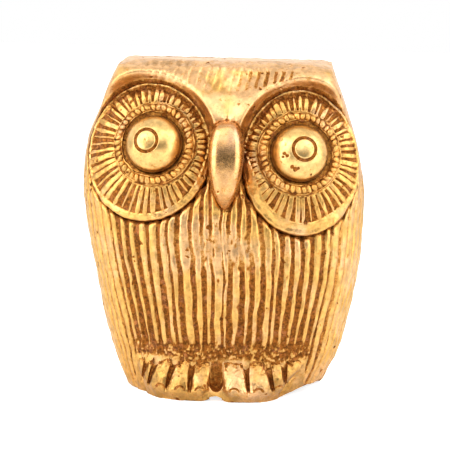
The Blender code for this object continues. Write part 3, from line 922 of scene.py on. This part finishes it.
DOME_RADIUS = 7.0 * MM
DOME_HEIGHT = 4.9 * MM
DOME_FLOOR = -0.4 * MM
PUPIL_RADIUS = 2.75 * MM
PUPIL_CUT = 0.4 * MM
PUPIL_HALF = 0.48 * MM
SPIGOT_RADIUS = 2.5 * MM
SPIGOT_LENGTH = 4.6 * MM
# Across, up and radius of each casting pit in the right dome, in millimetres.
DOME_PITS = [
    (-4.4, -0.7, 0.55),
    (-3.8, -1.3, 0.6),
    (-4.7, -1.5, 0.4),
    (-2.6, -3.9, 0.6),
    (-1.8, -4.5, 0.75),
    (-1.1, -4.3, 0.5),
    (2.2, -5.6, 0.35),
]


def build_dome(eye, pupil_at, centre_dot, pits):
    """Dome mesh with its pupil circle, dot and pits, and a recess value at each point."""
    turn = full_turn(160)
    rows = []
    for lean in np.linspace(0.012, 1.0, 84) * math.pi / 2:
        height = DOME_FLOOR + DOME_HEIGHT * math.cos(lean) ** 0.9
        rows.append(ring_at(turn, DOME_RADIUS * math.sin(lean), height))
    rows.append(ring_at(turn, SPIGOT_RADIUS, DOME_FLOOR))
    rows.append(ring_at(turn, SPIGOT_RADIUS, DOME_FLOOR - SPIGOT_LENGTH))
    points, quads, caps = close_rows(rows)
    from_pupil = np.hypot(points[:, 0] - pupil_at[0], points[:, 1] - pupil_at[1])
    recess = 1 - smooth(0.55 * PUPIL_HALF, PUPIL_HALF, np.abs(from_pupil - PUPIL_RADIUS))
    sunk = PUPIL_CUT * recess
    if centre_dot:
        dot = 1 - smooth_mm(0.1, 0.4, from_pupil)
        sunk = np.maximum(sunk, 0.12 * MM * dot)
        recess = np.maximum(recess, 0.45 * dot)
    for across, up, size in np.array(pits) * MM:
        pit = 1 - smooth(0.4 * size, size, np.hypot(points[:, 0] - across, points[:, 1] - up))
        sunk = np.maximum(sunk, 0.3 * MM * pit)
        recess = np.maximum(recess, pit)
    upper = points[:, 2] > DOME_FLOOR + 0.3 * MM
    points[:, 2] -= sunk * upper
    low = 1 - smooth_mm(0, 0.3, points[:, 2] - DOME_FLOOR)
    mesh = mesh_from("dome_skin", from_eye(points, eye), quads[:, ::-1], [c[::-1] for c in caps])
    write_marks(mesh, recess=np.maximum(recess * upper, low * 0.9))
    return mesh


DOME_METAL = brass(
    "polished_brass",
    metal=(0.88, 0.55, 0.19, 1.0),
    worn=(0.90, 0.60, 0.24, 1.0),
    reach=1.35,
    pits=0.015,
    polish=0.24,
    relief=0.05 * MM,
)
for side, pupil_at, centre_dot, pits in (
    ("left", (-0.75 * MM, 0.1 * MM), True, []),
    ("right", (0.35 * MM, 0.3 * MM), False, DOME_PITS),
):
    dome = stand_object(f"{side}_polished_dome", build_dome(EYES[side], pupil_at, centre_dot, pits))
    dome.data.materials.append(DOME_METAL)
    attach(dome, "root")
    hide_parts(f"{side}_eye_dome")

# -------------------- beak
# A long brass drop, round above and pointed below, polished smooth and pinker than the body. Its
# spigot is set in the face between the discs.

BEAK_STAND = 5.4 * MM
BEAK_SINK = 3.0 * MM
BEAK_SQUARE = 3.2


def build_beak():
    """The drop's mesh, browner where it meets the face, at its tip and in its one pit."""
    turn = full_turn(144)
    c, s = np.cos(turn), np.sin(turn)
    full = (np.abs(c) ** BEAK_SQUARE + np.abs(s) ** BEAK_SQUARE) ** (-1 / BEAK_SQUARE)
    rows = []
    for share in (1 - np.cos(np.linspace(0.02, 0.985, 96) * math.pi)) / 2:
        z = BEAK_TIP_Z + share * (BEAK_TOP_Z - BEAK_TIP_Z)
        girth = beak_girth(share)
        stand = np.where(s < 0, BEAK_STAND, BEAK_SINK) * (0.35 + 0.65 * girth)
        x = BEAK_X + BEAK_HALF_WIDTH * girth * full * c
        y = float(body_front(BEAK_X, z)) - 0.4 * MM + stand * min(girth * 1.6, 1.0) * full * s
        rows.append(np.stack([x, y, np.full(len(turn), z)], -1))
    points, quads, caps = close_rows(rows)
    pit = np.hypot(points[:, 0] - (BEAK_X - 1.5 * MM), points[:, 2] - 52.3 * MM)
    pit = (1 - smooth_mm(0.2, 0.5, pit)) * (points[:, 1] < -22 * MM)
    points[:, 1] += 0.25 * MM * pit
    low = 1 - smooth_mm(-0.9, 0, body_front(points[:, 0], points[:, 2]) - points[:, 1])
    low = np.maximum(low, 0.55 * smooth_mm(55, 48, points[:, 2]))
    mesh = mesh_from("beak", points, quads, caps)
    write_marks(mesh, recess=np.maximum(pit, low))
    return mesh


BEAK_METAL = brass(
    "coppery_brass",
    metal=(0.80, 0.44, 0.17, 1.0),
    worn=(0.72, 0.42, 0.23, 1.0),
    pits=0.01,
    polish=0.2,
    relief=0.03 * MM,
)
beak = stand_object("polished_beak", build_beak())
beak.data.materials.append(BEAK_METAL)
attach(beak, "root")
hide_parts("beak")

# -------------------- feet
# Two brass blocks let into the front of the body, joined by the sole. The maker filed grooves
# between the toes, which stop short of the sole, and punched a small arc for each claw.

FOOT_HEIGHT = 11.2 * MM
FOOT_SINK = 1.6 * MM
FOOT_STAND = 5.4 * MM
GROOVE_DEPTH = 0.85 * MM
CLAW_DEPTH = 0.22 * MM
CLAW_HEIGHT = 2.9 * MM
LEAN_FROM = 6 * MM
# Each toe's edges across the foot, from the owl's right to its left, and how each groove leans.
LEFT_TOES = [-20.2, -18.0, -15.9, -11.2, -6.0, -1.3]
LEFT_LEANS = [0.30, 0.36, 0.30, 0.02]
RIGHT_TOES = [1.6, 7.8, 13.6, 17.1, 21.7]
RIGHT_LEANS = [-0.08, -0.22, -0.10]


def shape_toes(x, z, edges, leans):
    """How far each spot lies in a groove, on a toe's crown and on a claw's arc."""
    groove, crown, claw = np.zeros_like(x), np.zeros_like(x), np.zeros_like(x)
    wide = 0.36 * MM + 0.46 * MM * smooth_mm(2.6, 9, z)
    for i in range(len(edges) - 1):
        middle, half = (edges[i] + edges[i + 1]) / 2, (edges[i + 1] - edges[i]) / 2
        lean = (leans[min(i, len(leans) - 1)] + leans[max(i - 1, 0)]) / 2
        inside = np.clip(1 - ((x - middle - lean * (z - LEAN_FROM)) / half) ** 2, 0, 1)
        crown = np.maximum(crown, inside * min(half / (2.5 * MM), 1.0))
        if half > 1.6 * MM:
            ring = np.hypot(x - middle, (z - CLAW_HEIGHT) * 1.1)
            arc = 1 - smooth_mm(0.12, 0.3, np.abs(ring - 1.15 * MM))
            claw = np.maximum(claw, arc * (z > CLAW_HEIGHT + 0.2 * MM))
        if i:
            course = 0.2 * MM * np.sin(z / (2.3 * MM) + 7 * i) + leans[i - 1] * (z - LEAN_FROM)
            cut = 1 - smooth(0.15 * wide, wide, np.abs(x - edges[i] - course))
            groove = np.maximum(groove, cut * smooth_mm(2.0, 3.6, z))
    return groove, crown, claw


def build_foot(edges, leans, outer, heel_in):
    """One foot's block from its toe edges. Outer says which end lies on the owl's flank, and heel_in
    how far the sole is cut back there."""
    edges = np.array(edges) * MM
    across, up = 300, 130
    x, z = np.meshgrid(np.linspace(edges[0], edges[-1], across + 1), np.linspace(0, FOOT_HEIGHT, up + 1))
    share = z / FOOT_HEIGHT
    from_flank, from_cleft = x - edges[0], edges[-1] - x
    if outer == "high":
        from_flank, from_cleft = from_cleft, from_flank
    flank = np.clip((from_flank - heel_in * smooth_mm(8.5, 0, z)) / (8.5 * MM), 0, 1)
    inner = np.clip(from_cleft / (1.6 * MM + 2.2 * MM * smooth_mm(4, 1, z)), 0, 1)
    ends = (0.02 + 0.98 * np.sqrt(flank * (2 - flank))) * (0.62 + 0.38 * np.sqrt(inner * (2 - inner)))
    stand = FOOT_STAND * (1 - smooth(0.2, 1.0, share)) * (0.80 + 0.20 * smooth(0.0, 0.28, share)) * ends

    groove, crown, claw = shape_toes(x, z, edges, leans)
    upper = smooth_mm(1.5, 5, z)
    stand = stand * (0.66 + 0.34 * crown**0.7 * upper + 0.34 * (1 - upper))
    wall = body_front(x, z)
    front = wall - stand + 0.6 * MM * smooth(0.84, 1.0, share + 0.05 * (1 - crown))
    front += GROOVE_DEPTH * groove + CLAW_DEPTH * claw
    meets = (1 - smooth_mm(0, 2.4, from_cleft)) * smooth_mm(3.4, 2.2, z)
    front += meets * (CLEFT_FRONT - front)
    back = wall + FOOT_SINK
    front = np.minimum(front, back - 0.9 * MM)
    points = np.concatenate([np.stack([x, y, z], -1).reshape(-1, 3) for y in (front, back)])
    points[:, 2] += chipped_base(points) + notched_sole(points)

    size = x.size
    index = np.arange(size).reshape(up + 1, across + 1)
    corners = [index[:-1, :-1], index[:-1, 1:], index[1:, 1:], index[1:, :-1]]
    face = np.stack(corners, -1).reshape(-1, 4)
    loop = np.concatenate([index[0, :], index[1:, -1], index[-1, -2::-1], index[-2:0:-1, 0]])
    after = np.roll(loop, -1)
    edge = np.stack([loop, loop + size, after + size, after], -1)
    mesh = mesh_from("foot", points, np.concatenate([face, face[:, ::-1] + size, edge]))

    ragged = share - 0.02 + 0.05 * (1 - crown)
    ragged += 0.035 * np.sin(x / (0.9 * MM)) + 0.03 * np.sin(x / (0.37 * MM) + 1)
    brown = [0.9 * smooth(0.35, 0.9, groove), 0.8 * claw, smooth(0.74, 0.92, ragged)]
    # The last term paints shade over the upper toe blocks, darker towards the top where they turn back into
    # the body; the rest is brown patina in the grooves, claw arcs and crust.
    low = np.maximum.reduce(brown + [0.45 * smooth(0.45, 0.8, ragged)])
    write_marks(mesh, recess_base=np.concatenate([low.ravel(), np.ones(size)]))
    write_marks(mesh, crust=np.concatenate([smooth(0.66, 0.84, ragged).ravel(), np.zeros(size)]))
    write_marks(mesh, stroke_phase=0.0, stroke_depth=0.0, stroke_width=0.0, pitted=0.0)
    return mesh


FOOT_METAL = brass(
    "foot_brass",
    metal=(0.60, 0.325, 0.088, 1.0),
    worn=(0.76, 0.46, 0.22, 1.0),
    polish=0.28,
    relief=0.18 * MM,
)
for side, edges, leans, outer, heel_in in (
    ("left", LEFT_TOES, LEFT_LEANS, "low", 2.5 * MM),
    ("right", RIGHT_TOES, RIGHT_LEANS, "high", 6.0 * MM),
):
    block = build_foot(edges, leans, outer, heel_in)
    foot = chase(block, f"{side}_toed_foot", f"{side}_foot", FOOT_METAL, Unevenness=0.9 * MM)
    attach(foot, "root")
    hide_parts(f"{side}_foot")

# -------------------- table, lights and camera
# The figurine stands on a white table between two tall soft boxes, with a wide one overhead. The
# room is plain white, and dimmer in front of the owl, so that the polished brass keeps its depth.

TABLE_HALF = 3.0
TABLE_GLOW = 0.75


def make_table():
    mesh = bpy.data.meshes.new("white_table")
    half = TABLE_HALF
    corners = [(-half, -half, 0), (half, -half, 0), (half, half, 0), (-half, half, 0)]
    mesh.from_pydata(corners, [], [(0, 1, 2, 3)])
    table = stand_object("white_table", mesh)
    paper = bpy.data.materials.new("white_paper")
    paper.use_nodes = True
    shader = paper.node_tree.nodes["Principled BSDF"]
    shader.inputs["Base Color"].default_value = (0.93, 0.93, 0.93, 1)
    shader.inputs["Roughness"].default_value = 0.9
    shader.inputs["Emission Color"].default_value = (1, 1, 1, 1)
    seen = add_node(paper.node_tree, "ShaderNodeLightPath").outputs["Is Camera Ray"]
    glow = times(seen, TABLE_GLOW)
    paper.node_tree.links.new(glow, shader.inputs["Emission Strength"])
    mesh.materials.append(paper)


def turn_towards(thing, aim):
    """The turn that points a lamp or camera at a spot."""
    thing.rotation_mode = "QUATERNION"
    return (Vector(aim) - Vector(thing.location)).to_track_quat("-Z", "Y")


def make_soft_box(name, place, aim, width, height, power):
    light = bpy.data.lights.new(name, "AREA")
    light.shape = "RECTANGLE"
    light.size, light.size_y = width, height
    light.energy = power
    lamp = stand_object(name, light)
    lamp.location = place
    lamp.rotation_quaternion = turn_towards(lamp, aim)


def make_white_room():
    """Plain white where the camera looks past the owl. The metal mirrors a pale wall behind it and a
    dimmer room in front."""
    world = bpy.data.worlds.new("white_room")
    world.use_nodes = True
    bpy.context.scene.world = world
    tree = world.node_tree
    node = partial(add_node, tree)
    tree.nodes.clear()
    seen = node("ShaderNodeBackground", {"Color": (1, 1, 1, 1), "Strength": 1.0})
    way = node("ShaderNodeTexCoord").outputs["Generated"]
    parts = node("ShaderNodeSeparateXYZ", {0: way}).outputs
    behind = times_plus(parts[2], 0.6, parts[1])
    glow = ease(behind, -0.7, 0.95, 0.06, 1.35)
    room = node("ShaderNodeBackground", {"Color": (1, 0.985, 0.96, 1), "Strength": glow})
    path = node("ShaderNodeLightPath")
    feeds = {0: path.outputs["Is Camera Ray"], 1: room, 2: seen}
    mixed = node("ShaderNodeMixShader", feeds)
    node("ShaderNodeOutputWorld", {"Surface": mixed})


def make_camera():
    data = bpy.data.cameras.new("front_view")
    data.lens = 135
    data.sensor_width = 36
    data.clip_start = 0.01
    camera = stand_object("front_view", data)
    bpy.context.scene.camera = camera
    distance, azimuth, roll = 0.427, math.radians(2.5), math.radians(1.3)
    aim = Vector((0.0005, 0.0, 0.0408))
    camera.location = (aim.x + distance * math.sin(azimuth), -distance * math.cos(azimuth), 0.0977)
    camera.rotation_quaternion = turn_towards(camera, aim) @ Quaternion((0, 0, 1), roll)


make_table()
make_soft_box("left_box", (-0.50, -0.28, 0.24), (0, 0, 0.05), 0.5, 0.7, 3.5)
make_soft_box("right_box", (0.50, -0.20, 0.24), (0, 0, 0.05), 0.5, 0.7, 2.9)
make_soft_box("top_box", (0.0, -0.46, 0.52), (0, 0, 0.04), 0.8, 0.56, 2.6)
make_white_room()
make_camera()
bpy.context.scene.view_settings.view_transform = "Standard"
